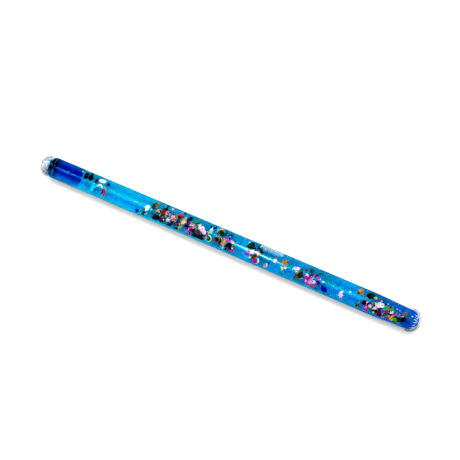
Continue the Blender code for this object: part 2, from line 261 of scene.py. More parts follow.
def dust_material():
    """Settled glitter dust: a navy drift at the filling end, then cyan blue, and royal blue at the far end, with
    painted light and shade round the bore.
    """
    n = Nodes("dust_and_painted_light")
    place = n.coordinates()
    split = n.add("ShaderNodeSeparateXYZ", {"Vector": place}).outputs
    wobble = n.math("SUBTRACT", n.noise(place, 500.0, 4.0), 0.5)
    along = n.math("ADD", split[0], n.math("MULTIPLY", wobble, 0.010))
    share = n.math("MULTIPLY_ADD", along, 0.5 / HALF_LENGTH, 0.5)
    base = n.ramp(
        share,
        [
            (0.0, (0.0, 0.02, 0.24)),
            (0.106, (0.0, 0.03, 0.26)),
            (0.115, (0.0, 0.20, 0.43)),
            (0.40, (0.0, 0.21, 0.45)),
            (0.55, (0.0, 0.20, 0.45)),
            (0.80, (0.0, 0.16, 0.44)),
            (0.90, (0.0, 0.10, 0.46)),
            (1.0, (0.0, 0.04, 0.42)),
        ],
    )
    side = n.ramp(
        share,
        [
            (0.0, (0.0, 0.20, 0.40)),
            (0.106, (0.0, 0.22, 0.42)),
            (0.115, (0.0, 0.50, 0.66)),
            (0.40, (0.0, 0.50, 0.66)),
            (0.60, (0.0, 0.34, 0.58)),
            (0.85, (0.0, 0.33, 0.55)),
            (0.93, (0.0, 0.15, 0.52)),
            (1.0, (0.0, 0.12, 0.50)),
        ],
    )
    # how far round the bore a point is from the painted caustic line
    angle = n.math("ARCTAN2", split[1], n.math("SUBTRACT", AXIS.z, split[2]))
    turn = n.math("SUBTRACT", angle, CAUSTIC_LINE)
    # painted light: the paler, greener side colour takes over further round the bore from the caustic line,
    # brightening the dust towards the sides; the change along the tube is the dust's own colour
    apart = n.ramp(n.math("ABSOLUTE", turn), [(0.20, (0, 0, 0)), (0.55, (1, 1, 1))])
    colour = n.mix(apart, base, side)
    ragged = n.math("MULTIPLY", wobble, 0.12)
    off = n.math("ADD", n.math("ABSOLUTE", turn), ragged)
    # the navy drift at the filling end, and a cyan fringe below it
    heaped = n.math("ABSOLUTE", n.math("SUBTRACT", turn, 0.02))
    heaped = n.ramp(n.math("ADD", heaped, ragged), [(0.17, (1, 1, 1)), (0.32, (0, 0, 0))])
    drift = n.math("MULTIPLY", heaped, n.math("LESS_THAN", share, DRIFT_SHARE))
    colour = n.mix(drift, colour, (0.0, 0.0, 0.20))
    low = n.ramp(n.math("MULTIPLY", turn, -1.0), [(0.10, (0, 0, 0)), (0.20, (1, 1, 1))])
    fringe = n.math("MULTIPLY", low, n.math("LESS_THAN", split[0], LIQUID_END + 1.0 * MM))
    colour = n.mix(fringe, colour, (0.0, 0.45, 0.75))
    # painted light: a softer, greener glow of focused light along the caustic line, except at the two ends
    wide = [(0.0, 0.0), (0.11, 0.0), (0.13, 1.0), (0.85, 0.9), (0.95, 0.1)]
    wide = n.ramp(share, [(spot, (level, level, level)) for spot, level in wide])
    soft = n.math("MULTIPLY", n.ramp(off, [(0.04, (1, 1, 1)), (0.20, (0, 0, 0))]), wide)
    colour = n.mix(n.math("MULTIPLY", soft, 0.7), colour, (0.0, 0.60, 0.60))
    # painted light and shade: lighter and darker bands round the bore, multiplying the colour
    bands = [(0.10, 0.92), (0.23, 0.80), (0.34, 0.66), (0.42, 0.80), (0.49, 0.97), (0.55, 0.87), (0.62, 0.74)]
    bands += [(0.71, 1.06), (0.82, 1.35)]
    stops = [(spot, (level, level, 0.5 + 0.5 * level)) for spot, level in bands]
    shade = n.ramp(n.math("MULTIPLY_ADD", turn, 1.25, 0.5), stops)
    colour = n.multiply(colour, shade)
    grit = n.ramp(n.noise(place, 1100.0, 3.0), [(0.30, (0.68, 0.68, 0.82)), (0.70, (1.32, 1.32, 1.16))])
    colour = n.multiply(colour, grit)
    # painted light: a thin lighter streak, the caustic itself, right on the caustic line
    fine = n.ramp(off, [(0.02, (1, 1, 1)), (0.045, (0, 0, 0))])
    colour = n.mix(n.math("MULTIPLY", fine, 0.4), colour, (0.01, 0.32, 0.60))
    grain = n.add("ShaderNodeTexVoronoi", {"Vector": place, "Scale": 2400.0}).outputs["Color"]
    spark = n.math("GREATER_THAN", n.add("ShaderNodeSeparateColor", {0: grain}).outputs[0], 0.86)
    strength = n.math("MULTIPLY_ADD", n.math("GREATER_THAN", share, DRIFT_SHARE), 0.24, 0.07)
    lit = n.mix(n.math("MULTIPLY", spark, strength), colour, (0.02, 0.55, 0.90))
    # not physical: rays that have already bounced off a diffuse surface see the dust plain grey instead of blue, so
    # that it throws no blue light into the floor's shadow
    bounced = n.math("GREATER_THAN", n.add("ShaderNodeLightPath").outputs["Diffuse Depth"], 0.5)
    lit = n.mix(bounced, lit, (0.25, 0.25, 0.25))
    shader = n.add(
        "ShaderNodeBsdfPrincipled",
        {"Base Color": lit, "Roughness": 0.5, "Specular IOR Level": 0.2, "Specular Tint": (0.02, 0.20, 0.90)},
    )
    return n.finish(shader.outputs[0])


FOILS = {
    # slot: two colours that the foil turns between
    "amber": ((0.50, 0.15, 0.01), (0.85, 0.40, 0.04)),
    "aqua": ((0.02, 0.45, 0.50), (0.10, 0.75, 0.75)),
    "black": ((0.004, 0.004, 0.010), (0.012, 0.012, 0.03)),
    "blush": ((0.88, 0.48, 0.64), (0.88, 0.82, 0.85)),
    "bronze": ((0.16, 0.05, 0.01), (0.50, 0.30, 0.08)),
    "crimson": ((0.10, 0.0, 0.004), (0.02, 0.004, 0.01)),
    "cyan": ((0.02, 0.75, 0.90), (0.10, 0.90, 0.95)),
    "emerald": ((0.0, 0.20, 0.02), (0.02, 0.55, 0.06)),
    "forest": ((0.0, 0.02, 0.006), (0.01, 0.14, 0.02)),
    "gold": ((0.98, 0.74, 0.02), (0.88, 0.44, 0.0)),
    "ice": ((0.56, 0.78, 0.90), (0.88, 0.90, 0.90)),
    "indigo": ((0.0, 0.0, 0.48), (0.06, 0.0, 0.42)),
    "lime": ((0.40, 0.80, 0.01), (0.80, 0.85, 0.02)),
    "magenta": ((0.95, 0.0, 0.45), (0.60, 0.0, 0.50)),
    "mint": ((0.28, 0.85, 0.60), (0.80, 0.90, 0.83)),
    "moss": ((0.01, 0.02, 0.0), (0.12, 0.13, 0.01)),
    "navy": ((0.0, 0.0, 0.06), (0.0, 0.01, 0.30)),
    "olive": ((0.04, 0.15, 0.0), (0.40, 0.34, 0.02)),
    "peach": ((0.95, 0.50, 0.22), (0.92, 0.78, 0.60)),
    "pearl": ((0.94, 0.92, 0.91), (0.92, 0.82, 0.84)),
    "plum": ((0.10, 0.0, 0.06), (0.30, 0.02, 0.20)),
    "red": ((0.95, 0.06, 0.02), (0.80, 0.02, 0.01)),
    "rose": ((0.95, 0.12, 0.35), (0.97, 0.62, 0.72)),
    "ruby": ((0.50, 0.0, 0.03), (0.12, 0.0, 0.01)),
    "teal": ((0.0, 0.10, 0.09), (0.0, 0.28, 0.25)),
    "violet": ((0.40, 0.02, 0.75), (0.75, 0.10, 0.80)),
}
FOIL_DEPTH = 1.35  # the power that makes the film's colours deeper
MADE = {}  # foil materials by slot


def foil(name):
    """Metallised film that turns from one colour to another across a flake, with fine creases."""
    first, second = ([c**FOIL_DEPTH for c in colour] for colour in FOILS[name])
    n = Nodes("foil_" + name)
    place = n.coordinates()
    split = n.add("ShaderNodeSeparateXYZ", {"Vector": n.coordinates("Generated")}).outputs
    slope = n.math("ADD", n.math("MULTIPLY", split[0], 0.45), n.math("MULTIPLY", split[2], 0.55))
    crease = n.noise(place, 900.0, 1.0)
    share = n.math("ADD", slope, n.math("MULTIPLY", n.math("SUBTRACT", crease, 0.5), 0.9))
    colour = n.ramp(share, [(0.30, first), (0.72, second)])
    # darker patches at random over the film
    dark_patches = n.ramp(n.noise(place, 1300.0), [(0.38, (0.25, 0.25, 0.25)), (0.46, (1, 1, 1))])
    colour = n.multiply(colour, dark_patches)
    bump = n.add("ShaderNodeBump", {"Height": crease, "Distance": 0.0002, "Strength": 0.5}).outputs[0]
    shader = n.add(
        "ShaderNodeBsdfPrincipled",
        {"Base Color": colour, "Roughness": 0.35, "Specular IOR Level": 0.06, "Normal": bump},
    )
    return n.finish(shader.outputs[0])


def foil_of(name):
    if name not in MADE:
        MADE[name] = foil(name)
    return MADE[name]


# The shell


def own(thing, material, nodes=(), body=SHELL):
    """Gives a new piece its material, slot and body, and hides the CAD nodes it stands for."""
    thing.data.materials.append(material)
    if nodes:
        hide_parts(*nodes)
    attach(thing, body)


def make_shell():
    """The clear tube and its two domes. The flutes of the left dome are cut into its inside only."""
    clear = clear_plastic("clear_plastic", (0.985, 0.99, 0.992))
    inner = OUTER - WALL
    loop = [(-TUBE_END, inner), (-TUBE_END, OUTER), (TUBE_END, OUTER), (TUBE_END, inner)]
    own(lathe("tube_wall", loop, sharp=SHELL_SHARP), clear, ["tube"])

    start = TUBE_END + JOINT_GAP
    outside = [(start, OUTER), *dome(OUTER)]
    flat = DOME_FLATNESS + 0.01  # keeps the wall clear of the liquid
    inside = [(CENTRE + min(x - CENTRE, (x - CENTRE) * flat), r) for x, r in [(start, inner), *dome(inner)]]
    cap = lathe("right_dome", outside[::-1] + inside, sharp=SHELL_SHARP)
    own(cap, clear_plastic("clear_dome", (0.965, 0.975, 0.98), 3.8, 0.18), ["right_end_cap"])

    def fluted(x, radius, angle):
        rise = max(0.0, (-x - CENTRE) / OUTER)
        if rise <= 0 or math.hypot(-x - CENTRE, radius) > OUTER - 0.2 * MM:
            return radius
        depth = 0.5 * MM * math.sin(math.pi * min(1, rise)) ** 0.7
        return radius - depth * abs(math.cos(FLUTES / 2 * angle))

    thick = OUTER - CAP_WALL
    inside = [(start, thick), *dome(thick)]
    profile = [(-x, r) for x, r in outside[::-1] + inside]
    cap = lathe("left_dome", profile, radius_at=fluted, sharp=SHELL_SHARP)
    own(cap, clear_plastic("clear_cap", (0.87, 0.89, 0.90), 3.5, 0.25), ["left_end_cap"])
    stopper = frame["nodes"]["filler_stopper"]
    stopper.data.materials[0] = clear_plastic("clear_stopper", (0.70, 0.80, 0.90))


def make_liquid():
    """The liquid, which fills the bore up to the stopper and the flutes of the closed end."""
    reach = (LIQUID - TAPER) * DOME_FLATNESS

    def fluted(x, r, angle):
        if x <= CENTRE:
            return r
        rise = math.asin(min(1, (x - CENTRE) / reach))
        return r * (1 - 0.05 * math.sin(2 * rise) * (0.5 + 0.5 * math.cos(FLUTES * angle)))

    tip = (CENTRE + reach, 0.0)
    liquid = lathe("liquid", [(LIQUID_END, 0.0), *bore_outline(0.0), tip], radius_at=fluted)
    own(liquid, liquid_material("blue_liquid", "ShaderNodeBsdfRefraction"))
    # its end face is a mirror from the inside
    liquid.data.materials.append(liquid_material("liquid_end", "ShaderNodeBsdfGlass"))
    for polygon in liquid.data.polygons:
        if polygon.center.x < LIQUID_END + 0.3 * MM:
            polygon.material_index = 1


def make_dust():
    """The layer of settled dust: a sheet over the lower half of the bore, and up into the far dome."""
    across = 60
    half_arc = math.radians(88)
    rows = bore_outline(0.06 * MM)
    verts, faces = [], []
    count = across + 1
    for side in (0, 1):
        for k, (x, radius) in enumerate(rows):
            before, after = rows[max(0, k - 1)], rows[min(len(rows) - 1, k + 1)]
            inward = Vector((after[1] - before[1], before[0] - after[0])).normalized()
            for j in range(count):
                angle = -math.pi / 2 + half_arc * (2 * j / across - 1)
                edge = 1 - abs(2 * j / across - 1)
                bump = noise.noise(Vector((x * 500, angle * 3, 0))) * 0.5 + 0.5
                depth = (0.08 + (0.25 * bump + 0.15) * min(1, edge * 8)) * MM if side else 0.0
                r = radius + inward.y * depth
                verts.append((x + inward.x * depth, r * math.cos(angle), AXIS.z + r * math.sin(angle)))
    layer = len(rows) * count
    for i in range(len(rows) - 1):
        for j in range(across):
            a = i * count + j
            b = a + layer
            faces.append((a, a + 1, a + count + 1, a + count))
            faces.append((b, b + count, b + count + 1, b + 1))
        a, b = i * count, i * count + across
        faces.append((a, a + count, a + count + layer, a + layer))
        faces.append((b, b + layer, b + count + layer, b + count))
    for j in range(across):
        a, b = j, (len(rows) - 1) * count + j
        faces.append((a, a + layer, a + layer + 1, a + 1))
        faces.append((b, b + 1, b + layer + 1, b + layer))
    dust = solid("settled_dust", verts, faces)
    dust.visible_diffuse = False  # it doesn't tint the floor
    own(dust, dust_material())


# Confetti

UP_WAY = Vector((0, math.cos(FACING), math.sin(FACING)))
OUT_WAY = Vector((0, -math.sin(FACING), math.cos(FACING)))


def arc(count, radius, start, sweep, centre=(0, 0)):
    angles = [math.radians(start + sweep * i / (count - 1)) for i in range(count)]
    return [(centre[0] + radius * math.cos(a), centre[1] + radius * math.sin(a)) for a in angles]


def lobed(count, lobes, depth):
    """A closed outline whose reach varies lobes times round."""
    points = []
    for i in range(count):
        a = 2 * math.pi * i / count
        radius = 1 - depth + depth * math.cos(lobes * a)
        points.append((radius * math.cos(a), radius * math.sin(a)))
    return points


def star(points=5, inner=0.45):
    reach = [1 if i % 2 == 0 else inner for i in range(2 * points)]
    return [(r * math.cos(math.pi * i / points), r * math.sin(math.pi * i / points)) for i, r in enumerate(reach)]


def heart():
    points = []
    for i in range(20):
        t = 2 * math.pi * i / 20
        up = 13 * math.cos(t) - 5 * math.cos(2 * t) - 2 * math.cos(3 * t) - math.cos(4 * t)
        points.append((-math.sin(t) ** 3, up / 16))
    return points


OUTLINES = {
    "chevron": [(-1, -0.6), (0, 0.1), (1, -0.6), (1, 0.0), (0, 0.7), (-1, 0.0)],
    "crescent": arc(13, 1, 65, 230) + arc(11, 0.98, 248, -136, (0.55, 0)),
    "disc": lobed(22, 0, 0),
    "flower": lobed(35, 5, 0.2),
    "heart": heart(),
    "hexagon": lobed(6, 0, 0),
    "leaf": arc(8, 1.1, 30, 120, (0, -0.55)) + arc(8, 1.1, 210, 120, (0, 0.55)),
    "oval": [(x, 0.64 * y) for x, y in lobed(20, 0, 0)],
    "shard": [(-1, -0.1), (1, 0.0), (0.9, 0.16), (-0.8, 0.14)],
    "square": [(-0.7, -0.7), (0.7, -0.7), (0.7, 0.7), (-0.7, 0.7)],
    "star": star(),
    "teardrop": [(1.5, 0.0)] + arc(13, 0.75, 60, 240),
    "triangle": lobed(3, 0, 0),
}

# More confetti than has a slide of its own: it clings to the wall or hangs in the liquid.
# Outline, foil, width, place along the tube, place up the front, depth towards the front, turn.
# Both places are where the flake looks to be. Lengths are in millimetres, turns in degrees.
DRIFTERS = [
    ("hexagon", "black", 3.0, -149.0, 3.4, 5, 20),
    ("disc", "black", 2.6, -150.0, -0.7, 5, 0),
    ("shard", "crimson", 3.0, -149.4, 6.4, 3, 40),
    ("disc", "ice", 0.5, -137.4, 0.2, 5, 0),
    ("hexagon", "lime", 1.6, -123.2, 6.2, 3, 0),
    ("leaf", "black", 5.2, -119.4, 4.6, 4, 80),
    ("hexagon", "navy", 4.0, -118.8, 2.8, 2, 20),
    ("shard", "crimson", 3.4, -120.6, 1.2, 4, 60),
    ("triangle", "navy", 3.4, -115.4, 6.2, 2, 20),
    ("leaf", "crimson", 4.4, -115.6, 4.2, 5, 120),
    ("hexagon", "crimson", 4.2, -115.0, 3.6, 4, 0),
    ("shard", "navy", 3.4, -116.4, -1.2, 2, 80),
    ("leaf", "navy", 3.6, -109.4, 3.4, 2, 70),
    ("shard", "navy", 3.2, -108.4, 1.6, 3, 20),
    ("leaf", "cyan", 4.8, -110.2, -1.8, 4, 40),
    ("triangle", "cyan", 4.0, -110.6, -3.2, 6, 80),
    ("leaf", "pearl", 4.6, -104.6, 5.6, 5, 5),
    ("shard", "ice", 3.8, -104.8, 1.8, 5, 0),
    ("triangle", "navy", 3.4, -99.4, 4.2, 3, 0),
    ("shard", "navy", 3.4, -98.6, 1.6, 2, 80),
    ("crescent", "black", 3.6, -102.0, -2.6, 3, 195),
    ("shard", "rose", 2.2, -100.8, 0.6, 5, 110),
    ("shard", "red", 4.8, -100.0, -2.6, 6, 95),
    ("shard", "red", 2.0, -100.6, -4.9, 6, 60),
    ("disc", "red", 1.0, -102.8, -2.4, 4, 0),
    ("leaf", "aqua", 4.0, -151.6, 4.8, 5, 65),
    ("leaf", "indigo", 3.4, -70.0, -5.0, 4, 20),
    ("leaf", "emerald", 3.8, -65.0, -2.8, 6.2, 60),
    ("leaf", "forest", 3.4, -63.8, -4.6, 5, 20),
    ("disc", "mint", 2.4, -62.6, -4.8, 4, 0),
    ("leaf", "moss", 3.4, -64.6, -6.4, 3, 0),
    ("hexagon", "forest", 3.4, -58.4, 3.2, 4, 40),
    ("shard", "amber", 3.6, -56.2, 3.0, 5, -20),
    ("disc", "emerald", 1.8, -58.2, -1.2, 5, 0),
    ("disc", "forest", 1.8, -58.8, 1.4, 5, 0),
    ("disc", "gold", 2.0, -54.0, 1.0, 5, 0),
    ("shard", "amber", 2.6, -55.8, -1.6, 5, 70),
    ("hexagon", "black", 4.6, -54.6, -4.4, 5, 10),
    ("leaf", "black", 4.6, -52.6, -3.6, 4, -10),
    ("leaf", "forest", 3.6, -55.2, -5.4, 3, 0),
    ("triangle", "crimson", 3.8, -48.4, 4.6, 4, 90),
    ("hexagon", "bronze", 4.0, -49.8, 0.8, 5, 10),
    ("hexagon", "ruby", 3.6, -48.4, 1.9, 3, 10),
    ("hexagon", "plum", 4.0, -49.4, -3.0, 5, 0),
    ("leaf", "black", 4.0, -50.8, -4.6, 4, 40),
    ("triangle", "plum", 3.6, -48.0, -5.0, 4, 200),
    ("disc", "rose", 2.0, -43.8, 6.6, 4, 0),
    ("leaf", "black", 2.6, -48.2, 7.2, 1, 10),
    ("crescent", "rose", 3.4, -46.6, 1.8, 5, 10),
    ("star", "mint", 3.6, -45.6, 0.2, 4, 30),
    ("leaf", "teal", 4.0, -46.4, -3.2, 3, 80),
    ("star", "pearl", 4.2, -43.8, -2.2, 5, 10),
    ("shard", "cyan", 3.2, -41.8, 4.6, 4, 75),
    ("disc", "violet", 1.8, -41.2, 2.8, 5, 0),
    ("star", "peach", 4.2, -40.2, -0.4, 5, 50),
    ("leaf", "plum", 5.0, -40.2, -3.4, 4, 50),
    ("shard", "black", 5.0, -39.0, -4.6, 5, 40),
    ("leaf", "forest", 4.0, -42.0, -6.0, 3, 0),
    ("hexagon", "amber", 2.8, -38.8, 2.4, 5, 0),
    ("triangle", "black", 3.4, -36.4, 2.6, 4, 270),
    ("triangle", "red", 2.8, -34.6, 3.4, 5, 200),
    ("hexagon", "navy", 2.6, -37.0, -2.6, 5, 0),
    ("leaf", "emerald", 2.8, -35.2, -3.2, 5, 110),
    ("disc", "black", 2.0, -33.4, 7.0, 2, 0),
    ("hexagon", "plum", 3.2, -36.0, -0.6, 4, 0),
    ("shard", "gold", 3.0, -33.2, -4.8, 5, 60),
    ("leaf", "black", 3.8, -35.6, -6.4, 3, 0),
    ("star", "gold", 3.6, -31.6, 2.8, 5, 40),
    ("leaf", "peach", 4.4, -32.0, 0.2, 5, 60),
    ("shard", "pearl", 3.0, -31.2, 4.6, 4, 80),
    ("hexagon", "plum", 3.4, -28.0, 1.2, 4, 10),
    ("leaf", "black", 4.0, -27.4, 5.4, 3, 40),
    ("leaf", "navy", 4.0, -29.0, 3.4, 4, 100),
    ("shard", "mint", 2.8, -30.6, -6.0, 4, 10),
    ("leaf", "black", 4.2, -28.4, -1.4, 4, 20),
    ("disc", "violet", 2.0, -28.0, -3.6, 5, 0),
    ("star", "blush", 3.4, -26.2, 1.0, 5, 20),
    ("star", "rose", 3.4, -23.8, 0.8, 5, 50),
    ("hexagon", "magenta", 2.8, -24.6, -1.8, 5, 0),
    ("shard", "gold", 3.6, -26.2, -5.8, 5, -20),
    ("leaf", "lime", 2.6, -27.0, -4.8, 4, 70),
    ("triangle", "forest", 3.8, -21.0, 3.2, 4, 60),
    ("triangle", "black", 4.2, -22.2, -2.6, 5, 180),
    ("leaf", "emerald", 2.4, -20.6, 1.2, 5, 90),
    ("hexagon", "rose", 2.8, -22.0, -0.8, 4, 0),
    ("triangle", "blush", 3.2, -19.4, 3.0, 5, 60),
    ("hexagon", "bronze", 4.2, -18.4, -1.4, 5, 20),
    ("star", "ruby", 3.6, -18.2, -2.4, 4, 0),
    ("hexagon", "forest", 4.0, -20.4, -5.6, 4, 30),
    ("disc", "olive", 2.4, -20.6, -6.8, 4, 0),
    ("leaf", "pearl", 5.4, -16.4, 1.6, 5, -25),
    ("leaf", "ice", 3.4, -13.2, -0.6, 5, -50),
    ("triangle", "plum", 4.4, -15.2, -4.6, 5, 40),
    ("leaf", "crimson", 4.2, -17.0, -5.4, 4, 20),
    ("triangle", "black", 3.4, -13.6, -5.6, 4, 10),
    ("crescent", "magenta", 3.4, -11.4, -1.4, 5, 10),
    ("shard", "rose", 3.0, -10.8, -4.0, 5, 70),
    ("disc", "emerald", 2.0, -9.0, -3.6, 5, 0),
    ("crescent", "emerald", 4.8, -9.0, -3.8, 4, 200),
    ("shard", "lime", 2.8, -6.6, -4.2, 4, 80),
    ("triangle", "ice", 2.8, -9.4, 3.6, 4, 90),
    ("disc", "black", 2.0, -10.8, 5.6, 4, 0),
    ("leaf", "navy", 3.6, -7.4, 6.0, 2, 50),
    ("shard", "pearl", 3.4, -4.8, 4.8, 4, 100),
    ("hexagon", "bronze", 4.2, -2.6, -1.6, 5, 30),
    ("disc", "crimson", 2.2, -2.2, -2.0, 6, 0),
    ("hexagon", "moss", 4.0, -1.8, 4.6, 4, 10),
    ("disc", "black", 1.8, -1.0, 4.6, 5, 0),
    ("hexagon", "forest", 3.0, 0.6, 3.4, 4, 0),
    ("leaf", "forest", 3.2, 2.2, 5.0, 3, 60),
    ("leaf", "navy", 2.4, 0.4, -3.2, 4, 0),
    ("star", "gold", 3.6, 3.2, -1.2, 6, 60),
    ("shard", "lime", 3.0, 1.8, -2.4, 5, 60),
    ("star", "ice", 3.4, 3.4, -5.4, 4, 0),
    ("crescent", "navy", 3.6, 6.0, 4.8, 4, 280),
    ("shard", "violet", 3.6, 5.2, 3.0, 5, 80),
    ("shard", "magenta", 3.0, 7.0, 0.8, 5, -40),
    ("hexagon", "rose", 2.6, 9.4, 1.0, 5, 0),
    ("leaf", "black", 5.2, 7.2, -2.8, 5, 30),
    ("hexagon", "black", 4.0, 8.4, -2.2, 4, 0),
    ("disc", "crimson", 2.8, 8.6, -3.4, 5, 0),
    ("triangle", "olive", 3.2, 11.0, -1.8, 5, 50),
    ("hexagon", "magenta", 2.6, 11.6, -5.0, 4, 0),
    ("shard", "emerald", 2.6, 12.0, -2.8, 4, 30),
    ("leaf", "black", 2.8, 6.2, -5.8, 4, 70),
    ("shard", "rose", 2.4, 19.8, -3.0, 3, 110),
    ("leaf", "black", 4.8, 23.8, 5.2, 4, 100),
    ("hexagon", "forest", 4.0, 24.0, 3.2, 5, 0),
    ("disc", "moss", 2.6, 23.0, 3.8, 6, 0),
    ("hexagon", "navy", 2.4, 26.6, 2.6, 4, 0),
    ("hexagon", "crimson", 3.2, 30.2, 5.2, 3, 0),
    ("leaf", "black", 3.8, 31.6, 4.6, 3, 100),
    ("disc", "ruby", 1.8, 33.0, 2.8, 4, 0),
    ("star", "pearl", 3.8, 26.4, 0.8, 5, 10),
    ("shard", "gold", 3.0, 24.0, -0.8, 5, 30),
    ("star", "peach", 4.2, 30.2, 0.9, 5, 0),
    ("leaf", "lime", 2.4, 31.0, 0.2, 5, 40),
    ("triangle", "violet", 3.2, 23.8, -2.8, 5, 20),
    ("leaf", "bronze", 4.8, 28.2, -2.6, 5, 110),
    ("hexagon", "bronze", 3.2, 29.6, -1.2, 5, 0),
    ("leaf", "ice", 3.4, 25.8, -4.2, 5, 80),
    ("disc", "magenta", 2.2, 29.8, -4.8, 5, 0),
    ("crescent", "pearl", 4.6, 32.0, -4.6, 4, 195),
    ("shard", "bronze", 3.0, 29.2, -6.4, 4, 60),
    ("leaf", "navy", 2.2, 40.5, -2.6, 5, 70),
    ("leaf", "peach", 3.0, 38.6, -5.2, 4, 50),
    ("shard", "gold", 2.0, 44.8, 0.9, 5, 20),
    ("leaf", "bronze", 3.4, 50.8, 2.8, 5, 110),
    ("leaf", "bronze", 3.4, 53.0, 2.8, 5, 70),
    ("disc", "pearl", 1.8, 53.6, -0.9, 5, 0),
    ("triangle", "lime", 3.6, 51.6, -2.2, 5, 270),
    ("leaf", "emerald", 3.4, 51.8, -6.4, 4, 0),
    ("shard", "navy", 1.8, 55.4, -5.4, 4, 80),
    ("leaf", "pearl", 4.2, 61.0, 1.6, 5, 20),
    ("leaf", "teal", 3.6, 64.4, 1.6, 4, 40),
    ("hexagon", "black", 4.2, 65.6, -1.6, 5, 0),
    ("teardrop", "bronze", 4.4, 63.0, -4.4, 5, 90),
    ("leaf", "bronze", 3.0, 62.6, -1.6, 5, 90),
    ("shard", "lime", 3.4, 67.6, -3.6, 5, 30),
    ("crescent", "plum", 4.4, 69.2, 3.2, 4, 10),
    ("hexagon", "teal", 4.0, 72.8, 4.4, 4, 20),
    ("triangle", "pearl", 3.4, 70.4, 0.2, 5, 0),
    ("heart", "magenta", 4.4, 71.6, -1.4, 6.2, 20),
    ("crescent", "magenta", 4.4, 73.2, -5.6, 4, 90),
    ("leaf", "rose", 3.6, 70.8, -3.6, 5, 90),
    ("triangle", "blush", 4.6, 74.2, -3.4, 6, 40),
    ("leaf", "plum", 3.8, 73.4, 1.6, 4, 30),
    ("shard", "crimson", 3.4, 78.4, -2.0, 5, 100),
    ("disc", "amber", 2.0, 78.6, -4.6, 5, 0),
    ("leaf", "magenta", 3.4, 76.2, -6.2, 4, 0),
    ("crescent", "forest", 3.8, 79.2, 4.4, 4, -60),
    ("leaf", "plum", 3.4, 76.8, 2.6, 4, 60),
    ("leaf", "violet", 3.4, 79.0, 1.2, 5, 60),
    ("hexagon", "indigo", 3.2, 80.2, -1.6, 5, 0),
    ("disc", "ice", 1.7, 83.1, 0.4, 6, 0),
    ("shard", "plum", 2.6, 83.8, -1.2, 5, 110),
    ("disc", "emerald", 1.7, 86.6, 2.7, 4, 0),
    ("leaf", "indigo", 5.0, 86.4, -4.4, 5, -40),
    ("shard", "navy", 5.2, 94.2, 3.4, 4, 85),
    ("disc", "pearl", 1.3, 103.9, 1.3, 5, 0),
    ("leaf", "ice", 3.0, 98.2, -1.2, 5, 60),
    ("star", "rose", 3.4, 98.6, -4.2, 5, 30),
    ("hexagon", "amber", 3.0, 110.0, 5.4, 5, 0),
    ("hexagon", "bronze", 3.6, 111.6, 4.6, 4, 0),
    ("teardrop", "moss", 4.0, 112.0, -5.0, 5, 90),
    ("shard", "lime", 2.6, 112.2, -2.8, 5, 80),
    ("hexagon", "black", 3.6, 116.1, -1.6, 5, 0),
    ("hexagon", "black", 4.2, 117.6, 4.6, 5, 0),
    ("leaf", "moss", 4.0, 120.0, 5.2, 4, 40),
    ("star", "lime", 2.8, 122.2, 4.8, 4, 0),
    ("star", "aqua", 2.2, 118.2, -4.9, 6, 0),
    ("shard", "forest", 3.4, 120.6, 0.8, 5, 30),
    ("leaf", "black", 3.4, 119.4, -1.2, 4, 60),
    ("star", "peach", 2.6, 120.4, -2.2, 6, 0),
    ("hexagon", "teal", 3.4, 122.8, -4.6, 4, 0),
    ("star", "rose", 4.2, 125.2, -0.6, 5, 0),
    ("leaf", "pearl", 3.8, 127.2, 1.8, 5, 10),
    ("leaf", "peach", 3.6, 124.4, -2.4, 5, 40),
    ("disc", "lime", 1.7, 124.4, -6.2, 5, 0),
    ("leaf", "black", 4.4, 125.2, -4.4, 4, 10),
    ("triangle", "ruby", 4.2, 128.2, -3.6, 5, -20),
    ("hexagon", "black", 4.0, 128.6, -5.2, 4, 0),
    ("hexagon", "emerald", 3.6, 132.0, 0.8, 5, 0),
    ("hexagon", "forest", 3.8, 132.4, -2.0, 4, 0),
    ("disc", "magenta", 2.6, 133.0, -1.0, 6, 0),
    ("leaf", "magenta", 3.0, 134.4, 2.2, 5, 110),
    ("leaf", "emerald", 4.0, 135.8, 1.6, 5, 100),
    ("leaf", "blush", 3.4, 136.6, -0.4, 5, 50),
    ("shard", "blush", 3.4, 131.2, -3.8, 6, 70),
    ("hexagon", "black", 3.6, 134.0, -2.6, 4, -20),
    ("hexagon", "emerald", 3.0, 134.0, -3.8, 5, 0),
    ("disc", "magenta", 2.4, 134.3, -6.4, 5, 0),
    ("leaf", "rose", 2.8, 132.0, -6.6, 4, 10),
    ("crescent", "violet", 3.2, 138.6, -0.8, 5, 100),
    ("hexagon", "black", 3.8, 137.0, -2.6, 4, 0),
    ("hexagon", "gold", 3.6, 138.2, -4.2, 6, 0),
    ("shard", "lime", 3.0, 137.6, -3.2, 5, 80),
    ("leaf", "black", 4.0, 140.6, -2.8, 5, 30),
    ("shard", "amber", 2.8, 141.4, -1.6, 5, -20),
    ("heart", "emerald", 3.2, 140.4, -4.8, 6, 180),
    ("hexagon", "black", 4.0, 142.8, -3.6, 5, 0),
    ("star", "aqua", 3.4, 143.8, -6.0, 4, 0),
    ("leaf", "black", 5.2, 145.6, -1.8, 5, 80),
    ("hexagon", "bronze", 2.8, 145.4, 1.2, 5, 0),
    ("leaf", "teal", 2.6, 147.0, 1.0, 5, 60),
    ("disc", "magenta", 1.2, 136.8, -7.2, 3, 0),
    ("disc", "pearl", 1.1, 150.8, 2.7, 5, 0),
]
# Where small bits of foil crowd round the flakes: from, to and how many
CROWDS = [(-58, -8, 200), (-3, 13, 34), (22, 34, 30), (61, 82, 44), (113, 148, 110)]
BIT_FOILS = (
    "black", "black", "black", "plum", "crimson", "emerald", "forest", "magenta", "gold", "pearl", "rose", "teal",
    "navy", "bronze", "mint",
)
FLAKE_THICKNESS = 0.06 * MM
ROOM = LIQUID - 0.2 * MM  # how far from the axis a placed flake is meant to reach
FITTING_TRIES = 4  # moves towards the axis that a placed flake gets to fit in there


def looks(depth):
    """How much wider across the tube a flake at this depth looks."""
    return LENS * LIQUID / (LENS * LIQUID - (LENS - 1) * (LIQUID - depth))


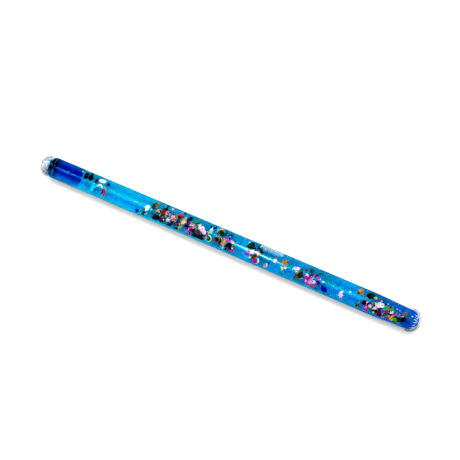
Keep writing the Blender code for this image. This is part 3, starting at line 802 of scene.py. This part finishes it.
def flake(outline, width, centre, roll, turn, tilt, curl):
    """Vertices and faces of a thin closed flake, curled a little about one axis."""
    points = [Vector((x, y, 0)) for x, y in outline]
    reach = max((a - b).length for a in points for b in points)
    middle = sum(points, Vector()) / len(points)
    spin = Vector((math.cos(turn), math.sin(turn)))
    verts = []
    across = Vector((1, 0, 0)) * math.cos(tilt) + OUT_WAY * math.sin(tilt)
    upward = UP_WAY * math.cos(roll) + OUT_WAY * math.sin(roll)
    normal = across.cross(upward)
    for side in (-0.5, 0.5):
        for p in points:
            x, y = (p - middle).xy * (width / reach)
            u, v = x * spin.x - y * spin.y, x * spin.y + y * spin.x
            lift = curl * (u * u / width) + side * FLAKE_THICKNESS
            verts.append(centre + across * u + upward * v + normal * lift)
    n = len(points)
    faces = [tuple(range(n))[::-1], tuple(range(n, 2 * n))]
    faces += [(i, (i + 1) % n, n + (i + 1) % n, n + i) for i in range(n)]
    return verts, faces


def make_drifters():
    """The loose confetti, one piece for each foil."""
    rng = random.Random(3)
    by_foil = {}
    for shape, name, width, along, up, depth, turn in DRIFTERS:
        roll = rng.gauss(-0.3, 0.3)
        tilt = rng.gauss(0, 0.25)
        curl = rng.uniform(-0.5, 0.5)
        depth *= MM
        centre = AXIS + UP_WAY * (up * MM / looks(depth)) + OUT_WAY * depth
        centre.x = along * MM + (SLANT_START + SLANT * depth) * (1 - along * MM / SLANT_END)
        for _ in range(FITTING_TRIES):
            made = flake(OUTLINES[shape], width * MM, centre, roll, math.radians(turn), tilt, curl)
            far = max((v - AXIS for v in made[0]), key=lambda v: v.yz.length)
            over = far.yz.length - ROOM
            if over <= 0:
                break
            centre = centre - Vector((0, far.y, far.z)).normalized() * (over + 0.05 * MM)
        by_foil.setdefault(name, []).append(made)
    for start, end, count in CROWDS:
        for _ in range(count):
            centre = AXIS + UP_WAY * (rng.gauss(-0.6, 2.3) * MM) + OUT_WAY * (rng.uniform(1.5, 5.6) * MM)
            centre.x = rng.uniform(start, end) * MM
            shape = OUTLINES[rng.choice(("disc", "triangle", "shard", "leaf", "hexagon"))]
            width = rng.uniform(0.8, 1.8) * MM
            turn, roll = rng.uniform(0, math.tau), rng.gauss(0, 0.5)
            made = flake(shape, width, centre, roll, turn, rng.gauss(0, 0.5), 0.0)
            by_foil.setdefault(rng.choice(BIT_FOILS), []).append(made)
    for name, flakes in by_foil.items():
        verts, faces = [], []
        for part_verts, part_faces in flakes:
            faces += [[i + len(verts) for i in face] for face in part_faces]
            verts += part_verts
        own(solid("drifting_" + name, verts, faces), foil_of(name))


def dress_cad_flakes():
    for row in frame["record"]["subparts"]:
        if row["material_slot"] in FOILS:
            node = frame["nodes"][row["node"]]
            node.data.materials[0] = foil_of(row["material_slot"])


def make_specks():
    """Fine glitter that hangs in the liquid: thousands of tiny flat slivers."""
    rng = np.random.default_rng(11)
    kinds = [
        ("specks_blue", 9000, 0.30, (0.0, 0.06, 0.25), (0.0, 0.16, 0.42)),
        ("specks_cyan", 7000, 0.28, (0.0, 0.45, 0.55), (0.05, 0.62, 0.66)),
        ("specks_silver", 320, 0.30, (0.55, 0.80, 0.85), (0.95, 0.98, 0.98)),
    ]
    corners = np.array([(1, 0, 0.12), (-0.5, 0.87, 0.12), (-0.5, -0.87, 0.12), (0, 0, -0.22)])
    sides = np.array([(0, 1, 2), (0, 3, 1), (1, 3, 2), (2, 3, 0)])
    for name, count, size, first, second in kinds:
        start = LIQUID_END + 1.5 * MM if name == "specks_silver" else -119 * MM
        x = rng.uniform(start, CENTRE + 3 * MM, count)
        r = (LIQUID - 1.2 * MM) * np.sqrt(rng.uniform(0, 1, count))
        a = rng.uniform(0, 2 * math.pi, count)
        place = np.stack([x, r * np.cos(a), AXIS.z + r * np.sin(a)], axis=1)
        turns = np.linalg.qr(rng.normal(size=(count, 3, 3)))[0]
        turns[np.linalg.det(turns) < 0, :, 0] *= -1
        scale = size * MM * rng.uniform(0.5, 1.0, count) / 2
        verts = place[:, None, :] + np.einsum("nij,kj->nki", turns, corners) * scale[:, None, None]
        base = 4 * np.arange(count)[:, None]
        faces = (base[:, None, :] + sides[None]).reshape(-1, 3)
        mesh = bpy.data.meshes.new(name)
        mesh.from_pydata(verts.reshape(-1, 3).tolist(), [], faces.tolist())
        thing = link(name, mesh)
        n = Nodes("glitter_" + name.split("_")[1])
        cell = n.add("ShaderNodeTexWhiteNoise", {"Vector": n.coordinates()}).outputs["Value"]
        colour = n.ramp(cell, [(0.0, first), (1.0, second)])
        shader = n.add("ShaderNodeBsdfPrincipled", {"Base Color": colour, "Roughness": 0.3, "Metallic": 0.2})
        own(thing, n.finish(shader.outputs[0]))
        thing.visible_diffuse = False


def make_bubble():
    """The long air bubble that lies against the top of the bore, drawn as a painted reflection: a pale surface over
    part of it, the rest see-through.
    """
    start, end = 31 * MM, 50 * MM
    middle, spread = math.radians(68), math.radians(34)
    steps, sides = 40, 28
    verts, rings = [], []
    for i in range(steps + 1):
        t = i / steps
        fat = math.sqrt(max(0.0, 1 - (2 * t - 1) ** 4))
        ring = []
        for j in range(1 if i in (0, steps) else sides):
            a = 2 * math.pi * j / sides
            turn = middle + spread * fat * math.cos(a)
            radius = LIQUID - (0.85 - 0.6 * fat * math.sin(a)) * MM
            ring.append(len(verts))
            verts.append((start + (end - start) * t, radius * math.cos(turn), AXIS.z + radius * math.sin(turn)))
        rings.append(ring)
    bubble = solid("air_bubble", verts, ring_faces(zip(rings, rings[1:]), sides))
    bubble.visible_shadow = False
    n = Nodes("air")
    depth = n.add("ShaderNodeSeparateXYZ", {"Vector": n.coordinates("Generated")}).outputs[1]
    uneven = n.math("MULTIPLY", n.math("SUBTRACT", n.noise(n.coordinates(), 350.0), 0.5), 0.3)
    # painted reflection: the pale surface covers more of the bubble towards its +Y side
    levels = [(0.12, 0.0), (0.32, 0.22), (0.55, 0.50), (1.0, 0.58)]
    stops = [(spot, (level, level, level)) for spot, level in levels]
    share = n.ramp(n.math("ADD", depth, uneven), stops)
    clear = n.add("ShaderNodeBsdfTransparent", {"Color": (1, 1, 1)}).outputs[0]
    pale = n.add("ShaderNodeBsdfPrincipled", {"Base Color": (0.62, 0.76, 0.78), "Roughness": 0.2}).outputs[0]
    own(bubble, n.finish(n.shaders(share, clear, pale)))
    # its underside is not seen
    under = Nodes("air_underside")
    nothing = under.add("ShaderNodeBsdfTransparent", {"Color": (1, 1, 1)}).outputs[0]
    bubble.data.materials.append(under.finish(nothing))
    for k, polygon in enumerate(bubble.data.polygons):
        polygon.material_index = 1 if k % sides >= sides / 2 else 0


def make_flutes(name, way, count, flatness, reach, half_width, sink, dark, pale):
    """The moulded flutes inside a dome, as opaque strips with painted glints and painted shade: way is 1 for the
    closed end, -1 for the other.

    They lie sink below the liquid's full radius, and run to about reach degrees off the tip.
    """
    steps = 12
    verts, faces = [], []
    for k in range(count):
        around = 2 * math.pi * (k + 0.3 * math.sin(7 * k)) / count
        top = math.radians(26 + 8 * math.sin(5 * k))
        bottom = math.radians(reach + 12 * math.sin(3 * k + 1))
        base = len(verts)
        for i in range(steps + 1):
            t = i / steps
            off_tip = top + (bottom - top) * t
            width = half_width * math.sin(math.pi * min(1, t + 0.04)) ** 0.5 + 0.01 * MM
            for side, deep in ((-1, 0.05), (1, 0.05), (0, 0.25)):
                radius = LIQUID - sink - deep * MM
                r = radius * math.sin(off_tip)
                turn = around + side * width / r
                x = CENTRE + radius * flatness * math.cos(off_tip)
                verts.append((way * x, r * math.cos(turn), AXIS.z + r * math.sin(turn)))
        for i in range(steps):
            for j in range(3):
                a, b = base + 3 * i + j, base + 3 * i + (j + 1) % 3
                faces.append((a, b, b + 3, a + 3))
        last = base + 3 * steps
        faces.append((base, base + 2, base + 1))
        faces.append((last, last + 1, last + 2))
    n = Nodes(name)
    # painted glints and painted shade: pale and dark streaks along the flutes
    shade = n.ramp(n.noise(n.coordinates(), 700.0), [(0.42, dark), (0.56, pale)])
    shader = n.add("ShaderNodeBsdfPrincipled", {"Base Color": shade, "Roughness": 0.2})
    own(solid(name, verts, faces), n.finish(shader.outputs[0]))


def make_stage():
    half = 3.0
    corners = [(-half, -half, 0), (half, -half, 0), (half, half, 0), (-half, half, 0)]
    mesh = bpy.data.meshes.new("floor")
    mesh.from_pydata(corners, [], [(0, 1, 2, 3)])
    floor = link("floor", mesh)
    n = Nodes("paper")
    white = n.ramp(n.noise(n.coordinates(), 90.0), [(0.3, (0.80, 0.80, 0.80)), (0.7, (0.82, 0.82, 0.82))])
    shader = n.add("ShaderNodeBsdfPrincipled", {"Base Color": white, "Roughness": 0.9, "Specular IOR Level": 0.1})
    mesh.materials.append(n.finish(shader.outputs[0]))


def area_light(name, place, size, energy, glossy=True):
    """A soft lamp aimed at the tube. A glossy one lights gloss and what is seen through, the others plain surfaces."""
    data = bpy.data.lights.new(name, "AREA")
    data.shape = "RECTANGLE"
    data.size, data.size_y = size
    data.energy = energy
    lamp = link(name, data)
    lamp.location = place
    lamp.rotation_euler = (AXIS - Vector(place)).to_track_quat("-Z", "Y").to_euler()
    lamp.visible_glossy = glossy
    lamp.visible_transmission = glossy
    lamp.visible_diffuse = not glossy


def make_lights():
    world = bpy.data.worlds.new("studio")
    bpy.context.scene.world = world
    world.use_nodes = True
    background = world.node_tree.nodes["Background"].inputs
    background["Color"].default_value = (1, 1, 1, 1)
    background["Strength"].default_value = 0.6
    world.cycles_visibility.glossy = False
    world.cycles_visibility.transmission = False
    area_light("overhead", (0, 0.3, 1.2), (1.6, 1.0), 14, glossy=False)
    area_light("front", (-0.1, -1.2, 0.7), (1.8, 0.9), 15, glossy=False)
    area_light("front_strip", (-0.35, -0.58, 1.04), (0.9, 0.16), 7)
    area_light("front_spot", (-0.325, -0.58, 1.04), (0.085, 0.014), 9)
    area_light("back_strip", (0.1, 1.1, 0.32), (1.2, 0.2), 4.0)


def make_camera():
    azimuth, elevation, distance = math.radians(29.75), math.radians(50), 0.905
    level = math.cos(elevation)
    towards = Vector((level * math.sin(azimuth), -level * math.cos(azimuth), math.sin(elevation)))
    data = bpy.data.cameras.new("camera")
    data.sensor_width = 36
    data.lens = 97
    camera = link("camera", data)
    camera.location = AXIS + towards * distance
    right = Vector((0, 0, 1)).cross(towards).normalized()
    up = towards.cross(right)
    target = AXIS + right * 0.0068 + up * 0.0063
    camera.rotation_euler = (target - camera.location).to_track_quat("-Z", "Y").to_euler()
    bpy.context.scene.camera = camera


make_shell()
make_liquid()
make_dust()
make_bubble()
make_flutes(
    "right_dome_flutes_painted_light", 1, 18, DOME_FLATNESS, 58, 0.21 * MM, TAPER - 0.35 * MM, (0.45, 0.75, 0.88), (0.95, 0.97, 0.98)
)
make_flutes("left_dome_flutes_painted_light", -1, 20, 1.0, 76, 0.26 * MM, 0.7 * MM, (0.01, 0.05, 0.08), (0.78, 0.88, 0.91))
make_specks()
make_drifters()
dress_cad_flakes()
make_stage()
make_lights()
make_camera()
bpy.context.scene.view_settings.view_transform = "Standard"
bpy.context.scene.view_settings.look = "High Contrast"
